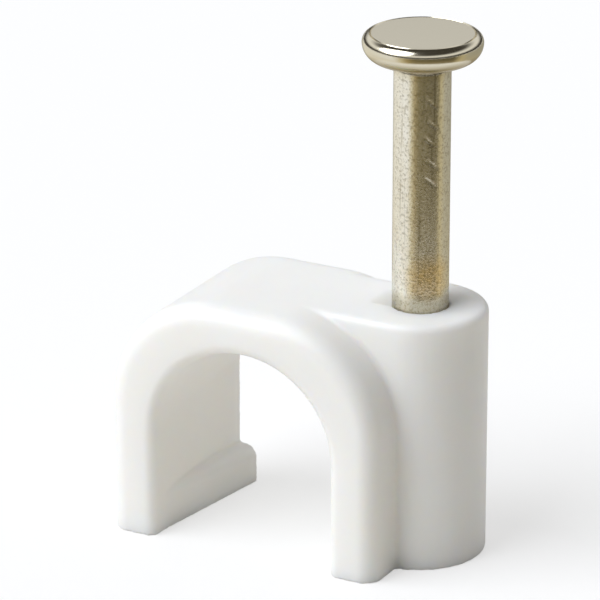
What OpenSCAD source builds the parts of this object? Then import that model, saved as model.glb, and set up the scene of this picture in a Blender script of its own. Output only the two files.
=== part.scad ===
// Nail-in cable clip: a moulded strap that holds one round cable against a wall,
// with a boss at one side that carries a headed steel nail, ready to be driven.
// Millimetres. +Z points away from the wall, +Y runs along the cable from front to back.
// The origin is under the middle of the part, on the face that meets the wall.

/* [Cable channel] */
// Diameter of the round cable that the channel takes
cable_d = 7; // [5:0.5:14]
// Height of the channel beyond the cable's diameter
cable_room = 0.6; // [0.2:0.1:2]
// Narrowing of each channel wall from front to back
channel_draft = 0.08; // [0.02:0.02:0.5]
// Rounding of the channel's front edge
mouth_round = 0.4; // [0.1:0.05:0.65]

/* [Strap] */
// Thickness of each leg
leg_wall = 1.85; // [1.4:0.05:3]
// Thickness of the strap at its crown
crown_wall = 1.6; // [1.4:0.1:3]
// Depth of the strap along the cable
strap_depth = 6.2; // [5:0.1:14]
// Radius that the outer shoulders have beyond the channel's radius
shoulder_gain = 0.6; // [0.2:0.1:1.1]
// Rounding of the outer front edge
front_round = 0.7; // [0.3:0.05:1]
// Rounding of the outer back edge
back_round = 0.5; // [0.1:0.05:0.8]

/* [Retention lip] */
// Height of the lip at its back end, at the foot of the free leg
lip_h = 1.45; // [0.8:0.05:2]
// Further height of the lip's upper edge at its front end
lip_rise = 0.4; // [0:0.05:0.8]
// Reach of the lip past the channel wall at the back
lip_reach = 0.7; // [0.2:0.05:0.9]
// Distance from the strap's front face at which the lip begins
lip_start = 0.8; // [0.5:0.1:3.5]
// Rounding of the lip's upper edge
lip_round = 0.5; // [0.1:0.05:0.5]

/* [Nail boss] */
// Wall of the boss around the nail hole
boss_wall = 1.38; // [1:0.02:3]
// Wall between the nail hole and the channel
web_wall = 0.46; // [0.3:0.02:3]
// Setback of the boss from the strap's front face
boss_setback = 1.7; // [1.3:0.05:3]
// Setback of the bridge from the strap's back face
bridge_inset = 0.5; // [0:0.05:1]
// Rounding of the boss's top edge
boss_round = 0.25; // [0.1:0.05:0.8]
// Radius of the blend between the strap and the boss
valley_round = 0.2; // [0.1:0.05:0.6]
// Reach of the relief past the nail hole, towards the strap
relief_reach = 0.55; // [0.2:0.05:0.8]
// Width of the relief
relief_w = 1.4; // [0.6:0.1:2]
// Depth of the relief at the edge of the hole
relief_depth = 0.3; // [0.1:0.05:2]

/* [Nail] */
// Diameter of the nail's shank
nail_d = 2; // [1.4:0.1:3]
// Length of the nail from its point to the top of its head
nail_length = 18.5; // [14:0.5:30]
// Height of the nail's point above the wall face
point_clear = 0.6; // [0.2:0.1:2]
// Length of the nail's point
point_h = 2.6; // [1.5:0.1:4]
// Width of the blunt end of the point
point_flat_d = 0.2; // [0.1:0.05:0.4]
// Radial clearance between the shank and its hole
hole_clearance = 0.03; // [0.01:0.01:0.1]
// Width of the head beyond the shank, on each side
head_overhang = 1.1; // [0.6:0.05:1.6]
// Width of the sloping rim round the head's flat top
rim_w = 0.32; // [0.1:0.02:0.5]
// Height of the sloping rim
rim_h = 0.28; // [0.1:0.02:0.4]
// Radius of the bowl-shaped underside of the head
bowl_round = 0.65; // [0.3:0.05:0.9]
// Radius of the neck between the head and the shank
neck_round = 0.2; // [0.1:0.05:0.4]

/* [Hidden] */
$fn = 96;
plastic_white = "#F3F1EC";
plated_steel = "#A79A78";
// How far cutting solids, and solids that are trimmed, run past the faces they end at
over = 1;

channel_r = cable_d / 2;
arc_z = channel_r + cable_room;
half_w = channel_r + leg_wall;
top_z = arc_z + channel_r + crown_wall;
shoulder_r = channel_r + shoulder_gain;
shoulder_x = half_w - shoulder_r;
shoulder_z = top_z - shoulder_r;
back_wall_x = channel_r - channel_draft;

hole_r = nail_d / 2 + hole_clearance;
boss_r = hole_r + boss_wall;
boss_x = channel_r + web_wall + hole_r;
boss_y = boss_setback + boss_r;

head_r = nail_d / 2 + head_overhang;
head_h = rim_h + bowl_round;
head_top_z = point_clear + nail_length;

// Valley blend: crown clearance where it begins, its growth below that, its smallest radius,
// how far its arc dips into the faces it joins, its lap past them, its root inside them, and its steps
blend_start_h = 0.22;
blend_fade = 0.6;
blend_end_r = 0.03;
blend_sink = 0.03;
blend_lap = 20;
blend_root = 0.25;
blend_steps = 24;
blend_arc_steps = 8;

// The middle of the part, seen from above
mid_x = (boss_x + boss_r - half_w) / 2;
mid_y = max(strap_depth, boss_y + boss_r) / 2;

// Section across a free edge: u runs out to the edge, v runs from the front to the back.
// The two outer corners are rounded.
module edge_section(reach, front, back, front_r, back_r) {
    middle = (front + back) / 2;
    translate([0, front + front_r]) square([reach, back - back_r - front - front_r]);
    translate([0, front]) square([reach - front_r, middle - front]);
    translate([0, middle]) square([reach - back_r, back - middle]);
    translate([reach - front_r, front + front_r]) circle(front_r);
    translate([reach - back_r, back - back_r]) circle(back_r);
}

module strap_edge(reach) {
    edge_section(reach, 0, strap_depth, front_round, back_round);
}

// One half of the strap: a straight leg below a round shoulder, with its foot left long
module strap_half() {
    translate([0, 0, -over]) linear_extrude(shoulder_z + over) strap_edge(half_w);
    translate([shoulder_x, 0, shoulder_z]) rotate([-90, 0, 0]) rotate_extrude() strap_edge(shoulder_r);
}

// The strap before its channel is cut: two halves under a flat crown
module strap() {
    strap_half();
    mirror([1, 0, 0]) strap_half();
    rotate([0, -90, 0]) linear_extrude(2 * shoulder_x, center = true) strap_edge(top_z);
}

// The round post that carries the nail, with its foot left long
module boss_post() {
    translate([boss_x, boss_y, 0]) rotate_extrude() {
        translate([0, -over]) square([boss_r - boss_round, top_z + over]);
        translate([0, -over]) square([boss_r, top_z - boss_round + over]);
        translate([boss_r - boss_round, top_z - boss_round]) circle(boss_round);
    }
}

// The flat-topped bridge from the crown to the post
module bridge() {
    rotate([0, -90, 0]) mirror([0, 0, 1]) linear_extrude(boss_x)
        edge_section(top_z, boss_setback, strap_depth - bridge_inset, boss_round, boss_round);
}

// Opening for the cable: an arch that narrows a little towards the back
module channel() {
    far = strap_depth + over;
    far_x = back_wall_x - channel_draft * over / (strap_depth - mouth_round);
    intersection() {
        union() {
            translate([0, -over, arc_z]) rotate([-90, 0, 0]) cylinder(h = far + over, r = channel_r);
            translate([-channel_r, -over, -2 * over]) cube([cable_d, far + over, arc_z + 2 * over]);
        }
        translate([0, 0, -2 * over]) linear_extrude(top_z + over) polygon([
            [-channel_r - over, -over], [channel_r + over, -over], [channel_r + over, 0],
            [channel_r, mouth_round], [far_x, far], [-far_x, far], [-channel_r, mouth_round],
            [-channel_r - over, 0]
        ]);
    }
}

// Section of the material that is taken off the channel's front edge
module mouth_section() {
    difference() {
        translate([channel_r - over, -over]) square([over + mouth_round, over + mouth_round]);
        translate([channel_r + mouth_round, mouth_round]) circle(mouth_round);
    }
}

module mouth_leg() {
    translate([0, 0, -2 * over]) linear_extrude(arc_z + 2 * over) mouth_section();
}

module mouth() {
    translate([0, 0, arc_z]) rotate([-90, 0, 0]) rotate_extrude() mouth_section();
    mouth_leg();
    mirror([1, 0, 0]) mouth_leg();
}

// Hole for the nail, with a shallow relief beside its top that falls from the strap towards the hole
module nail_hole() {
    relief_end = hole_r + relief_reach;
    translate([boss_x, boss_y, 0]) {
        translate([0, 0, -2 * over]) cylinder(h = top_z + 3 * over, r = hole_r);
        translate([0, 0, top_z]) rotate([90, 0, 0]) linear_extrude(relief_w, center = true) polygon([
            [-relief_end, 0], [-hole_r, -relief_depth], [0, -relief_depth], [0, over], [-relief_end, over]
        ]);
    }
}

// Section of the lip: u runs from the root in the leg to the free face, and the upper corner is rounded
module lip_section(root) {
    translate([-root, -2 * over]) square([root, lip_h - lip_round + 2 * over]);
    translate([-root, 0]) square([root - lip_round, lip_h]);
    translate([-lip_round, lip_h - lip_round]) circle(lip_round);
}

// Wedge at the foot of the free leg that keeps the cable in: it grows out of the wall towards the back,
// and its upper edge falls a little on the way
module lip() {
    run = strap_depth - lip_start;
    swing = lip_reach + channel_draft * run / (strap_depth - mouth_round);
    root = leg_wall / 2;
    intersection() {
        translate([lip_reach - back_wall_x, strap_depth, 0])
            rotate([-atan2(lip_rise, run), 0, -atan2(swing, run)]) translate([0, over, 0])
                rotate([90, 0, 0]) linear_extrude(norm([run, swing]) + 2 * over) lip_section(root);
        translate([-half_w, mouth_round, -over])
            cube([half_w, strap_depth - mouth_round, lip_h + lip_rise + over]);
    }
}

// Space on the wall's side of the base
module below_base() {
    translate([-half_w - over, -over, -2 * over])
        cube([half_w + boss_x + boss_r + 2 * over, 2 * (mid_y + over), 2 * over]);
}

// Blend radius at an angle round the shoulder: it fades out where the shoulder rises to the crown
function blend_radius(angle) =
    min(valley_round, blend_fade * (shoulder_r * (1 - sin(angle)) - blend_start_h));

// Cross-section of the blend at an angle round the shoulder, dropped straight down for the leg.
// The hollow side is an arc that touches the strap and the boss, and the last point lies inside both.
function blend_ring(angle, drop) =
    let (
        r = blend_radius(angle),
        gap = r * (1 - blend_sink),
        x = shoulder_x + (shoulder_r + gap) * cos(angle),
        z = shoulder_z + (shoulder_r + gap) * sin(angle) - drop,
        past = max(0, x - boss_x),
        ahead = sqrt(pow(boss_r + gap, 2) - past * past),
        to_strap = [-cos(angle), 0, -sin(angle)],
        to_boss = [-past, ahead, 0] / (boss_r + gap),
        centre = [x, boss_y - ahead, z]
    )
    concat(
        [for (i = [0:blend_arc_steps])
            let (
                turn = -blend_lap + i * (90 + 2 * blend_lap) / blend_arc_steps,
                aim = to_strap * cos(turn) + to_boss * sin(turn)
            )
            centre + r * aim / norm(aim)
        ],
        [centre + (r + blend_root) * (to_strap + to_boss)]
    );

// Hollow blend that runs up the valley between the strap's outer face and the boss
module valley_blend() {
    last_angle = asin(1 - (blend_start_h + blend_end_r / blend_fade) / shoulder_r);
    rings = concat(
        [blend_ring(0, shoulder_z + over)],
        [for (i = [0:blend_steps]) blend_ring(last_angle * i / blend_steps, 0)]
    );
    count = len(rings[0]);
    polyhedron(
        points = [for (ring = rings) each ring],
        faces = concat(
            [[for (j = [0:count - 1]) j]],
            [[for (j = [count - 1:-1:0]) (len(rings) - 1) * count + j]],
            [for (i = [0:len(rings) - 2]) for (j = [0:count - 1])
                [i * count + (j + 1) % count, i * count + j,
                    (i + 1) * count + j, (i + 1) * count + (j + 1) % count]
            ]
        )
    );
}

// The moulded clip: strap, bridge, post and lip in one piece
module clip_body() {
    color(plastic_white) translate([-mid_x, -mid_y, 0]) difference() {
        union() {
            difference() {
                union() {
                    strap();
                    boss_post();
                    bridge();
                    valley_blend();
                }
                channel();
                mouth();
                nail_hole();
            }
            lip();
        }
        below_base();
    }
}

// Half section of the nail's head, hanging down from its top face: a sloping rim over a bowl-shaped underside
module head_section() {
    difference() {
        translate([0, -head_h]) square([head_r, head_h]);
        polygon([
            [head_r - rim_w, 0], [head_r, -rim_h], [head_r + over, -rim_h], [head_r + over, over],
            [head_r - rim_w, over]
        ]);
        difference() {
            translate([head_r - bowl_round, -head_h - over]) square(bowl_round + over);
            translate([head_r - bowl_round, -rim_h]) circle(bowl_round);
        }
    }
}

// Half section of the neck that runs from the head into the shank
module neck_section() {
    translate([0, -head_h - neck_round]) difference() {
        square([nail_d / 2 + neck_round, neck_round]);
        translate([nail_d / 2 + neck_round, 0]) circle(neck_round);
    }
}

// The headed nail, cold formed from one wire
module nail() {
    shank_top = head_top_z - head_h;
    color(plated_steel) translate([boss_x - mid_x, boss_y - mid_y, 0]) rotate_extrude() {
        translate([0, head_top_z]) {
            head_section();
            neck_section();
        }
        polygon([
            [0, point_clear], [point_flat_d / 2, point_clear], [nail_d / 2, point_clear + point_h],
            [nail_d / 2, shank_top], [0, shank_top]
        ]);
    }
}

clip_body();
nail();
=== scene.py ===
import math

import bpy
from mathutils import Matrix, Vector


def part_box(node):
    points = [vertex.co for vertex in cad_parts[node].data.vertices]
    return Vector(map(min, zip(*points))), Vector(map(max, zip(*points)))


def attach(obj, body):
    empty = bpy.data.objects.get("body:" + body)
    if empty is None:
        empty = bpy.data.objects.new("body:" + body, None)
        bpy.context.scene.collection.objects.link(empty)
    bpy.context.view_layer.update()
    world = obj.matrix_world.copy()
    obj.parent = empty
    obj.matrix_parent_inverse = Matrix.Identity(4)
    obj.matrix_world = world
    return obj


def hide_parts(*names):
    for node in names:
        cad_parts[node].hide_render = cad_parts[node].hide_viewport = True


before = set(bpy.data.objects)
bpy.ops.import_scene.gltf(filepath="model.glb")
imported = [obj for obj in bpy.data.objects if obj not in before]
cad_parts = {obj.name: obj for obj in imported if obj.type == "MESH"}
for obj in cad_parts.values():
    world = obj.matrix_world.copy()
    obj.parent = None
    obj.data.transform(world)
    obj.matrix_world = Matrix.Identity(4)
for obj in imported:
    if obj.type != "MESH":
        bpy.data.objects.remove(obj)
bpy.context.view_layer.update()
MM = 0.001


# Clip body
# One injection moulding in white polyethylene: strap, bridge, nail boss and retention lip.
# The mould leaves a small soft radius on every edge, which the remeshed copy of the solid has,
# and the relief beside the nail runs out softer still.

def linear(hex_colour):
    """Linear RGBA of an sRGB hex colour."""
    channels = [int(hex_colour[i:i + 2], 16) / 255 for i in (1, 3, 5)]
    return [c / 12.92 if c <= 0.04045 else ((c + 0.055) / 1.055) ** 2.4 for c in channels] + [1.0]


def add_node(tree, kind, sockets=None, **settings):
    """Adds a node. Each socket is given a value, or the output that feeds it."""
    made = tree.nodes.new(kind)
    for name, value in settings.items():
        setattr(made, name, value)
    for name, value in (sockets or {}).items():
        if isinstance(value, bpy.types.NodeSocket):
            tree.links.new(value, made.inputs[name])
        else:
            made.inputs[name].default_value = value
    return made


def new_material(name):
    """An empty node material, and its tree."""
    material = bpy.data.materials.new(name)
    material.use_nodes = True
    material.node_tree.nodes.clear()
    return material, material.node_tree


def show_surface(tree, shader):
    """Makes a shader the surface of its material."""
    add_node(tree, "ShaderNodeOutputMaterial", {"Surface": shader.outputs[0]})


def put_in_scene(name, mesh):
    """A new object with this mesh, in the scene."""
    made = bpy.data.objects.new(name, mesh)
    bpy.context.scene.collection.objects.link(made)
    return made


def moulded_copy(name, node, voxel_mm, rounds, keep):
    """A copy of a solid in fine even faces, relaxed so that its edges are softly rounded."""
    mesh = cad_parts[node].data.copy()
    mesh.materials.clear()
    # The grid of the remesh lies askew to the solid's faces, so that no edge runs along it and gets steps.
    askew = Matrix.Rotation(math.radians(37), 4, Vector((0.6, 0.3, 0.7)))
    mesh.transform(askew @ Matrix.Scale(1 / MM, 4))
    made = put_in_scene(name, mesh)
    weld = made.modifiers.new("weld", "WELD")
    weld.merge_threshold = voxel_mm / 100
    remesh = made.modifiers.new("even quads", "REMESH")
    remesh.mode = "VOXEL"
    remesh.voxel_size = voxel_mm
    relax = made.modifiers.new("soft edges", "SMOOTH")
    relax.factor = 0.5
    relax.iterations = rounds
    thin = made.modifiers.new("fewer faces", "DECIMATE")
    thin.ratio = keep
    shaped = bpy.data.meshes.new_from_object(made.evaluated_get(bpy.context.evaluated_depsgraph_get()))
    shaped.transform(Matrix.Scale(MM, 4) @ askew.inverted())
    shaped.shade_smooth()
    made.modifiers.clear()
    made.data = shaped
    return made


def soften(made, middle, reach, rounds):
    """Relaxes a mesh once more round one place: fully within half the reach, and not past one and a half."""
    patch = made.vertex_groups.new(name="patch")
    for vertex in made.data.vertices:
        share = 1.5 - (vertex.co - middle).length / reach
        if share > 0:
            patch.add([vertex.index], min(share, 1.0), "REPLACE")
    relax = made.modifiers.new("softer", "SMOOTH")
    relax.vertex_group = "patch"
    relax.iterations = rounds
    made.data = bpy.data.meshes.new_from_object(made.evaluated_get(bpy.context.evaluated_depsgraph_get()))
    made.modifiers.clear()
    made.vertex_groups.clear()


clip = moulded_copy("clip_body_moulding", "clip_body", voxel_mm=0.055, rounds=6, keep=0.35)
nail_low, nail_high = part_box("nail")
nail_axis = (nail_low + nail_high) / 2
boss_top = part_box("clip_body")[1].z
relief_out = 1.5 * MM
soften(clip, Vector((nail_axis.x - relief_out, nail_axis.y, boss_top)), reach=0.7 * MM, rounds=30)

# Moulded polyethylene: waxy, half translucent white with a satin skin.
# Light goes a little way in, so the shade is warm and its edges are soft.
# The grain of the mould is drawn coarser than it is, so that it shows.
polyethylene, tree = new_material("moulded_polyethylene_white")
flow_mark_mm = 2.2
mould_grain_mm = 0.11
place = add_node(tree, "ShaderNodeTexCoord").outputs["Object"]
flow = add_node(tree, "ShaderNodeTexNoise", {
    "Vector": place, "Scale": 1 / (flow_mark_mm * MM), "Detail": 2.0})
grain = add_node(tree, "ShaderNodeTexNoise", {
    "Vector": place, "Scale": 1 / (mould_grain_mm * MM), "Detail": 3.0})
tint = add_node(tree, "ShaderNodeMix", {0: flow.outputs[0], 6: linear("#F7F7F5"), 7: linear("#F4F4F1")},
                data_type="RGBA")
gloss = add_node(tree, "ShaderNodeMapRange", {"Value": flow.outputs[0], "To Min": 0.36, "To Max": 0.5})
skin = add_node(tree, "ShaderNodeBump", {
    "Height": grain.outputs[0], "Strength": 0.35, "Distance": 0.006 * MM})
shader = add_node(tree, "ShaderNodeBsdfPrincipled", {
    "Base Color": tint.outputs[2], "Roughness": gloss.outputs[0], "IOR": 1.52, "Normal": skin.outputs[0],
    "Subsurface Weight": 0.6, "Subsurface Radius": (1.0, 0.86, 0.68), "Subsurface Scale": 1.2 * MM,
})
show_surface(tree, shader)
clip.data.materials.append(polyethylene)
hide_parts("clip_body")
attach(clip, "root")


# Nail
# Cold-headed from drawn steel wire, then plated. The gripping dies leave slanted marks below the head,
# and the blow that forms the head leaves a fine ring round its flat top.

head_r = (nail_high.x - nail_low.x) / 2
head_top = nail_high.z
nail_tip = nail_low.z
shank_r = 1.0 * MM
disc_r = 1.78 * MM
rim_h = 0.31 * MM
bowl_r = 0.65 * MM
neck_r = 0.2 * MM
tip_r = 0.1 * MM
point_h = 2.6 * MM
ring_gap = 0.06 * MM
nail_sides = 192


def arc(centre_r, centre_z, radius, start, end, steps):
    """Points of a round stretch of a half section, from one angle to another in degrees."""
    turns = [math.radians(start + (end - start) * i / steps) for i in range(steps + 1)]
    return [(centre_r + radius * math.cos(t), centre_z + radius * math.sin(t)) for t in turns]


def straight(start, end, gap):
    """Points of a straight stretch of a half section, about one gap apart, without its ends."""
    count = max(1, round(math.dist(start, end) / gap))
    return [tuple(a + (b - a) * i / count for a, b in zip(start, end)) for i in range(1, count)]


def nail_section():
    """Half section of the nail from its tip to the middle of its head."""
    under = head_top - rim_h - bowl_r
    shank_top = under - neck_r
    crease_w, crease_d = 0.05 * MM, 0.02 * MM
    groove_w, groove_d = 0.07 * MM, 0.07 * MM
    rim_end = 75
    rim_r = rim_h / math.sin(math.radians(rim_end))
    points = [(tip_r, nail_tip), (shank_r, nail_tip + point_h)]
    points += straight(points[-1], (shank_r, shank_top - crease_w), ring_gap)
    points += [(shank_r, shank_top - crease_w), (shank_r - crease_d, shank_top)]
    points += arc(shank_r + neck_r, shank_top + crease_w, neck_r, 180, 90, 8)
    points += arc(head_r - bowl_r, head_top - rim_h, bowl_r, -90, 0, 20)
    points += arc(head_r - rim_r, head_top - rim_h, rim_r, 5, rim_end, 14)
    points += [(disc_r + groove_w / 2, head_top - groove_d), (disc_r, head_top)]
    points += straight(points[-1], (0.0, head_top), 4 * ring_gap)
    return points


def grip_mark_depth(turn, height):
    """How deep the slanted marks of the gripping dies are at a place on the shank."""
    marks = 5
    first_z = head_top - 2.25 * MM
    pitch = 0.72 * MM
    wander = 0.1 * MM
    half_length = 0.26 * MM
    half_width = 0.035 * MM
    depth = 0.02 * MM
    slant = math.radians(-42)
    facing = math.radians(-44)
    deepest = 0.0
    for side in (0, math.pi):
        swing = (turn - facing - side + math.pi) % (2 * math.pi) - math.pi
        for i in range(marks):
            sway = wander * math.sin(2.4 * i)
            across, up = swing * shank_r - sway, height - first_z + i * pitch + sway
            along = across * math.cos(slant) + up * math.sin(slant)
            off = up * math.cos(slant) - across * math.sin(slant)
            fade = math.exp(-(off / half_width) ** 2 - (along / half_length) ** 4)
            deepest = max(deepest, depth * fade)
    return deepest


def turned_mesh(name, section):
    """The nail's mesh: its section turned round the axis, with the grip marks pressed in."""
    sharp_from = math.radians(40)
    points = []
    for r, z in section:
        for k in range(nail_sides):
            turn = 2 * math.pi * k / nail_sides
            inset = grip_mark_depth(turn, z) if abs(r - shank_r) < neck_r / 10 else 0.0
            reach = r - inset
            points.append((nail_axis.x + reach * math.cos(turn), nail_axis.y + reach * math.sin(turn), z))
    faces = []
    for i in range(len(section) - 1):
        for k in range(nail_sides):
            after = (k + 1) % nail_sides
            low, high = i * nail_sides, (i + 1) * nail_sides
            faces.append((low + k, low + after, high + after, high + k))
    faces.append(tuple(reversed(range(nail_sides))))
    points.append((nail_axis.x, nail_axis.y, head_top))
    last = (len(section) - 1) * nail_sides
    faces += [(last + k, last + (k + 1) % nail_sides, len(points) - 1) for k in range(nail_sides)]
    mesh = bpy.data.meshes.new(name)
    mesh.from_pydata(points, [], faces)
    mesh.shade_smooth()
    mesh.set_sharp_from_angle(angle=sharp_from)
    return mesh


nail = put_in_scene("nail_plated", turned_mesh("nail_plated", nail_section()))


def from_front(azimuth, elevation=0.0):
    """Unit vector at an angle from the front towards +X, and an angle above the floor, in degrees."""
    turn, rise = math.radians(azimuth), math.radians(elevation)
    return Vector((math.sin(turn) * math.cos(rise), -math.cos(turn) * math.cos(rise), math.sin(rise)))


# Zinc-plated steel, passivated: a pale warm metal whose fine grain breaks up its reflections.
# The drawn shank carries a thin olive-gold film in patches, and fine dark lines run along the wire.
# The grain and the lines are drawn coarser than they are, so that they show.
# Painted reflections and shade: a golden neck, a darker underside to the head,
# a golden patch above the boss and a dark band at the wire's foot.
plated, tree = new_material("zinc_plated_steel_passivated")
grain_mm = 0.085
film_mm = 0.4
draw_line_mm = 0.13
line_stretch = 0.03
clean_zinc = linear("#EFEBDF")
place = add_node(tree, "ShaderNodeTexCoord").outputs["Object"]
height = add_node(tree, "ShaderNodeSeparateXYZ", {0: place}).outputs[2]
on_shank = add_node(tree, "ShaderNodeMapRange", {
    "Value": height, "From Min": head_top - 0.9 * MM, "From Max": head_top - 1.05 * MM})
film = add_node(tree, "ShaderNodeTexNoise", {
    "Vector": place, "Scale": 1 / (film_mm * MM), "Detail": 6.0, "Roughness": 0.72})
film_share = add_node(tree, "ShaderNodeMapRange", {
    "Value": film.outputs[0], "From Min": 0.42, "From Max": 0.66, "To Max": 0.3})
filmed = add_node(tree, "ShaderNodeMix", {
    0: film_share.outputs[0], 6: clean_zinc, 7: linear("#D2C7A6")}, data_type="RGBA")
# Painted reflection: the wire just below the head is painted golden, most strongly next to the head.
neck_reflection_share = add_node(tree, "ShaderNodeMapRange", {
    "Value": height, "From Min": head_top - 1.5 * MM, "From Max": head_top - 1.0 * MM, "To Max": 0.7})
neck_reflection_painted = add_node(tree, "ShaderNodeMix", {
    0: neck_reflection_share.outputs[0], 6: filmed.outputs[2], 7: linear("#BDAD7E")}, data_type="RGBA")
# Painted reflection: a golden patch on the side of the wire towards the camera, just above the boss, broken
# up by the film's noise.
gold_reflection_rise = 1.25 * MM
gold_reflection_azimuth = 47
gold_reflection_middle = Vector((nail_axis.x, nail_axis.y, boss_top + gold_reflection_rise)) + from_front(gold_reflection_azimuth) * shank_r
from_gold_reflection = add_node(tree, "ShaderNodeVectorMath", {0: place, 1: gold_reflection_middle}, operation="DISTANCE")
in_gold_reflection = add_node(tree, "ShaderNodeMapRange", {
    "Value": from_gold_reflection.outputs["Value"], "From Min": 1.0 * MM, "From Max": 0.4 * MM, "To Max": 1.25})
gold_reflection_share = add_node(tree, "ShaderNodeMath", {0: in_gold_reflection.outputs[0], 1: film.outputs[0]},
                      operation="MULTIPLY")
golden = add_node(tree, "ShaderNodeMix", {
    0: gold_reflection_share.outputs[0], 6: neck_reflection_painted.outputs[2], 7: linear("#E8C983")}, data_type="RGBA")
# Painted shade: a dark band at the foot of the wire, just above the boss, standing in for the boss's shaded
# top mirrored in it.
foot_shade_share = add_node(tree, "ShaderNodeMapRange", {
    "Value": height, "From Min": boss_top + 0.7 * MM, "From Max": boss_top + 0.3 * MM, "To Max": 0.55})
foot_shaded = add_node(tree, "ShaderNodeMix", {
    0: foot_shade_share.outputs[0], 6: golden.outputs[2], 7: linear("#988E6C")}, data_type="RGBA")
grain = add_node(tree, "ShaderNodeTexNoise", {"Vector": place, "Scale": 1 / (grain_mm * MM), "Detail": 4.0})
specks = add_node(tree, "ShaderNodeMapRange", {
    "Value": grain.outputs[0], "From Min": 0.5, "From Max": 0.66, "To Max": 0.46})
specked = add_node(tree, "ShaderNodeMix", {
    0: specks.outputs[0], 6: foot_shaded.outputs[2], 7: linear("#7C6E4C")}, data_type="RGBA")
along_wire = add_node(tree, "ShaderNodeVectorMath", {0: place, 1: (1.0, 1.0, line_stretch)},
                      operation="MULTIPLY")
draw_lines = add_node(tree, "ShaderNodeTexNoise", {
    "Vector": along_wire.outputs[0], "Scale": 1 / (draw_line_mm * MM), "Detail": 3.0})
lines = add_node(tree, "ShaderNodeMapRange", {
    "Value": draw_lines.outputs[0], "From Min": 0.6, "From Max": 0.72, "To Max": 0.5})
lined = add_node(tree, "ShaderNodeMix", {
    0: lines.outputs[0], 6: specked.outputs[2], 7: linear("#857A5C")}, data_type="RGBA")
# Painted shade: the underside of the head darkens and turns golden towards the neck.
under_head_shade_share = add_node(tree, "ShaderNodeMapRange", {
    "Value": height, "From Min": head_top - 0.5 * MM, "From Max": head_top - 0.76 * MM})
head_shade_painted = add_node(tree, "ShaderNodeMix", {
    0: under_head_shade_share.outputs[0], 6: linear("#DBD4BF"), 7: linear("#8A7A4C")}, data_type="RGBA")
colour = add_node(tree, "ShaderNodeMix", {
    0: on_shank.outputs[0], 6: head_shade_painted.outputs[2], 7: lined.outputs[2]}, data_type="RGBA")
gloss = add_node(tree, "ShaderNodeMapRange", {"Value": on_shank.outputs[0], "To Min": 0.18, "To Max": 0.24})
skin = add_node(tree, "ShaderNodeBump", {
    "Height": grain.outputs[0], "Strength": on_shank.outputs[0], "Distance": 0.006 * MM})
shader = add_node(tree, "ShaderNodeBsdfPrincipled", {
    "Base Color": colour.outputs[2], "Metallic": 1.0, "Roughness": gloss.outputs[0],
    "Normal": skin.outputs[0],
})
show_surface(tree, shader)
nail.data.materials.append(plated)
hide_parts("nail")
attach(nail, "root")


# Floor and studio light
# A plain white sheet, with a large soft key from the upper left and a weak fill from behind on the right.
# The room is brighter behind the part, and its light is soft.

floor_half = 0.6
floor = put_in_scene("floor", bpy.data.meshes.new("floor"))
corners = [(x * floor_half, y * floor_half, 0) for x, y in ((-1, -1), (1, -1), (1, 1), (-1, 1))]
floor.data.from_pydata(corners, [], [(0, 1, 2, 3)])
# Matt paper: white to the eye and in the metal, with about half the shadow's depth,
# and a slightly warm return into the shade.
sheet, tree = new_material("white_paper_sheet")
ray = add_node(tree, "ShaderNodeLightPath").outputs
seen = add_node(tree, "ShaderNodeMath", {0: ray["Is Camera Ray"], 1: ray["Is Glossy Ray"]},
                operation="MAXIMUM")
seen = add_node(tree, "ShaderNodeMath", {0: seen.outputs[0], 1: ray["Is Transmission Ray"]},
                operation="MAXIMUM")
tone = add_node(tree, "ShaderNodeMix", {0: seen.outputs[0], 6: linear("#ECE7DE"), 7: linear("#FFFFFF")},
                data_type="RGBA")
paper = add_node(tree, "ShaderNodeBsdfDiffuse", {"Color": tone.outputs[2]})
white = add_node(tree, "ShaderNodeEmission", {"Color": linear("#FFFFFF"), "Strength": 1.0})
lift = add_node(tree, "ShaderNodeMath", {0: seen.outputs[0], 1: 0.55}, operation="MULTIPLY")
shader = add_node(tree, "ShaderNodeMixShader", {0: lift.outputs[0], 1: paper.outputs[0], 2: white.outputs[0]})
show_surface(tree, shader)
floor.data.materials.append(sheet)


def soft_lamp(name, hex_colour, energy, spread, direction):
    """A far, wide lamp that shines from a direction."""
    made = bpy.data.objects.new(name, bpy.data.lights.new(name, "SUN"))
    made.data.color = linear(hex_colour)[:3]
    made.data.energy = energy
    made.data.angle = math.radians(spread)
    made.rotation_euler = direction.to_track_quat("Z", "Y").to_euler()
    bpy.context.scene.collection.objects.link(made)
    return made


soft_lamp("key", "#F7FAFF", 3.0, 56, from_front(-40, 45))
fill = soft_lamp("fill", "#FFFFFF", 0.45, 90, from_front(146, 52))
# The fill is for the shade of the plastic alone, so the metal doesn't mirror it.
fill.visible_glossy = False

world = bpy.data.worlds.new("studio")
bpy.context.scene.world = world
world.use_nodes = True
tree = world.node_tree
tree.nodes.clear()
bright_side = from_front(-152, 30)
towards = add_node(tree, "ShaderNodeTexCoord").outputs["Generated"]
facing = add_node(tree, "ShaderNodeVectorMath", {0: towards, 1: bright_side}, operation="DOT_PRODUCT")
window = add_node(tree, "ShaderNodeMapRange", {
    "Value": facing.outputs["Value"], "From Min": -0.02, "From Max": 0.7}, interpolation_type="SMOOTHSTEP")
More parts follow.
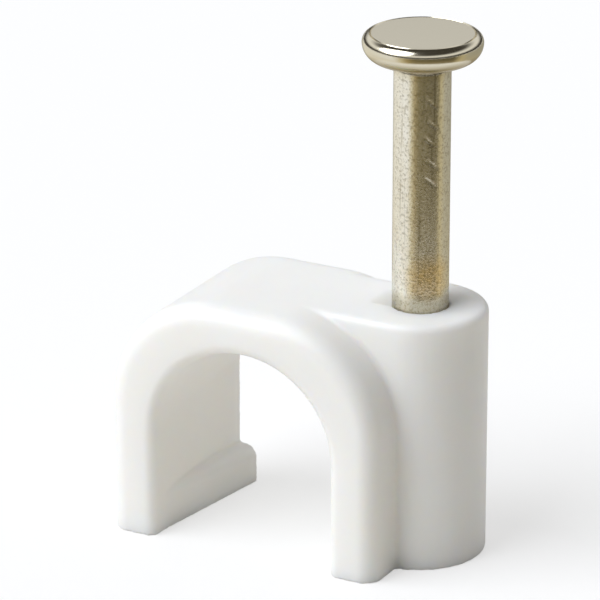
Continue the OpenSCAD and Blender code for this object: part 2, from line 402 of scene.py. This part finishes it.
# Gloss sees the pale walls of a tent, above the dark edge of the table and below a dark ceiling.
rise = add_node(tree, "ShaderNodeSeparateXYZ", {0: towards}).outputs[2]
above_table = add_node(tree, "ShaderNodeMapRange", {
    "Value": rise, "From Min": 0.17, "From Max": 0.36}, interpolation_type="SMOOTHSTEP")
below_ceiling = add_node(tree, "ShaderNodeMapRange", {
    "Value": rise, "From Min": 0.72, "From Max": 0.46}, interpolation_type="SMOOTHSTEP")
walls = add_node(tree, "ShaderNodeMath", {0: above_table.outputs[0], 1: below_ceiling.outputs[0]},
                 operation="MULTIPLY")
in_gloss = add_node(tree, "ShaderNodeLightPath").outputs["Is Glossy Ray"]
share = add_node(tree, "ShaderNodeMix", {0: in_gloss, 2: window.outputs[0], 3: walls.outputs[0]})
level = add_node(tree, "ShaderNodeMapRange", {"Value": in_gloss, "To Min": 0.4, "To Max": 0.93})
sky = add_node(tree, "ShaderNodeMix", {0: share.outputs[0], 6: linear("#45423D"), 7: linear("#FFFFFF")},
               data_type="RGBA")
glow = add_node(tree, "ShaderNodeBackground", {"Color": sky.outputs[2], "Strength": level.outputs[0]})
add_node(tree, "ShaderNodeOutputWorld", {"Surface": glow.outputs[0]})


# Ring card
# A shaded card that lies on the table round the part, outside the picture, brown towards the camera.
# Only gloss sees it: it gives the bright wire its dark middle, as the room behind the camera does.

card_near = 23 * MM
card_far = 300 * MM
card_gilt_end = 46 * MM
card_lift = 0.05 * MM
card_steps = 72
card_tones = ((-180, "#AAA594"), (-138, "#AAA594"), (-116, "#F6F2E6"), (-31, "#FFFFFF"), (-15, "#D9CFAE"),
              (-3, "#A69365"), (10, "#7A7050"), (88, "#665E48"), (105, "#CDBF96"), (125, "#B6B1A0"),
              (180, "#AAA594"))
turns = [360 * i / card_steps for i in range(card_steps + 1)]
card = put_in_scene("ring_card", bpy.data.meshes.new("ring_card"))
card.data.from_pydata([from_front(turn) * reach for turn in turns for reach in (card_near, card_far)], [],
                      [(2 * i, 2 * i + 1, 2 * i + 3, 2 * i + 2) for i in range(card_steps)])
card.location = (nail_axis.x, nail_axis.y, card_lift)
# Matt card: its tone follows the way round the part, and its near edge is golden.
board, tree = new_material("shaded_card")
place = add_node(tree, "ShaderNodeTexCoord").outputs["Object"]
axes = add_node(tree, "ShaderNodeSeparateXYZ", {0: place}).outputs
ahead = add_node(tree, "ShaderNodeMath", {0: axes[1], 1: -1.0}, operation="MULTIPLY")
turn = add_node(tree, "ShaderNodeMath", {0: axes[0], 1: ahead.outputs[0]}, operation="ARCTAN2")
round_share = add_node(tree, "ShaderNodeMapRange", {
    "Value": turn.outputs[0], "From Min": -math.pi, "From Max": math.pi})
ramp = add_node(tree, "ShaderNodeValToRGB", {0: round_share.outputs[0]})
for i, (azimuth, tone) in enumerate(card_tones):
    stops = ramp.color_ramp.elements
    stop = stops[i] if i < 2 else stops.new(1.0)
    stop.position = (azimuth + 180) / 360
    stop.color = linear(tone)
reach = add_node(tree, "ShaderNodeVectorMath", {0: place}, operation="LENGTH")
falloff = add_node(tree, "ShaderNodeMapRange", {
    "Value": reach.outputs["Value"], "From Min": card_near, "From Max": card_gilt_end,
    "To Min": 0.3, "To Max": 0.0,
})
gilded = add_node(tree, "ShaderNodeMix", {0: falloff.outputs[0], 6: ramp.outputs[0], 7: linear("#D6C18C")},
                  data_type="RGBA")
shader = add_node(tree, "ShaderNodeBsdfDiffuse", {"Color": gilded.outputs[2]})
show_surface(tree, shader)
card.data.materials.append(board)
card.visible_camera = False
card.visible_diffuse = False
card.visible_transmission = False
card.visible_shadow = False


# Camera
# At the photograph's angle, with a long lens that keeps the uprights almost parallel.

camera_azimuth = 28.82
camera_elevation = 22.04
camera_distance = 162.5 * MM
camera_pivot = Vector((-1.025, -0.213, 6.094)) * MM
frame_centre = Vector((-0.869, 0.928, 8.378)) * MM
camera = bpy.data.objects.new("camera", bpy.data.cameras.new("camera"))
camera.location = camera_pivot + from_front(camera_azimuth, camera_elevation) * camera_distance
camera.rotation_euler = (frame_centre - camera.location).to_track_quat("-Z", "Y").to_euler()
camera.data.sensor_width = 36
camera.data.lens = 274.3
camera.data.clip_start = 10 * MM
camera.data.clip_end = 2
bpy.context.scene.collection.objects.link(camera)
bpy.context.scene.camera = camera
bpy.context.scene.view_settings.view_transform = "Standard"
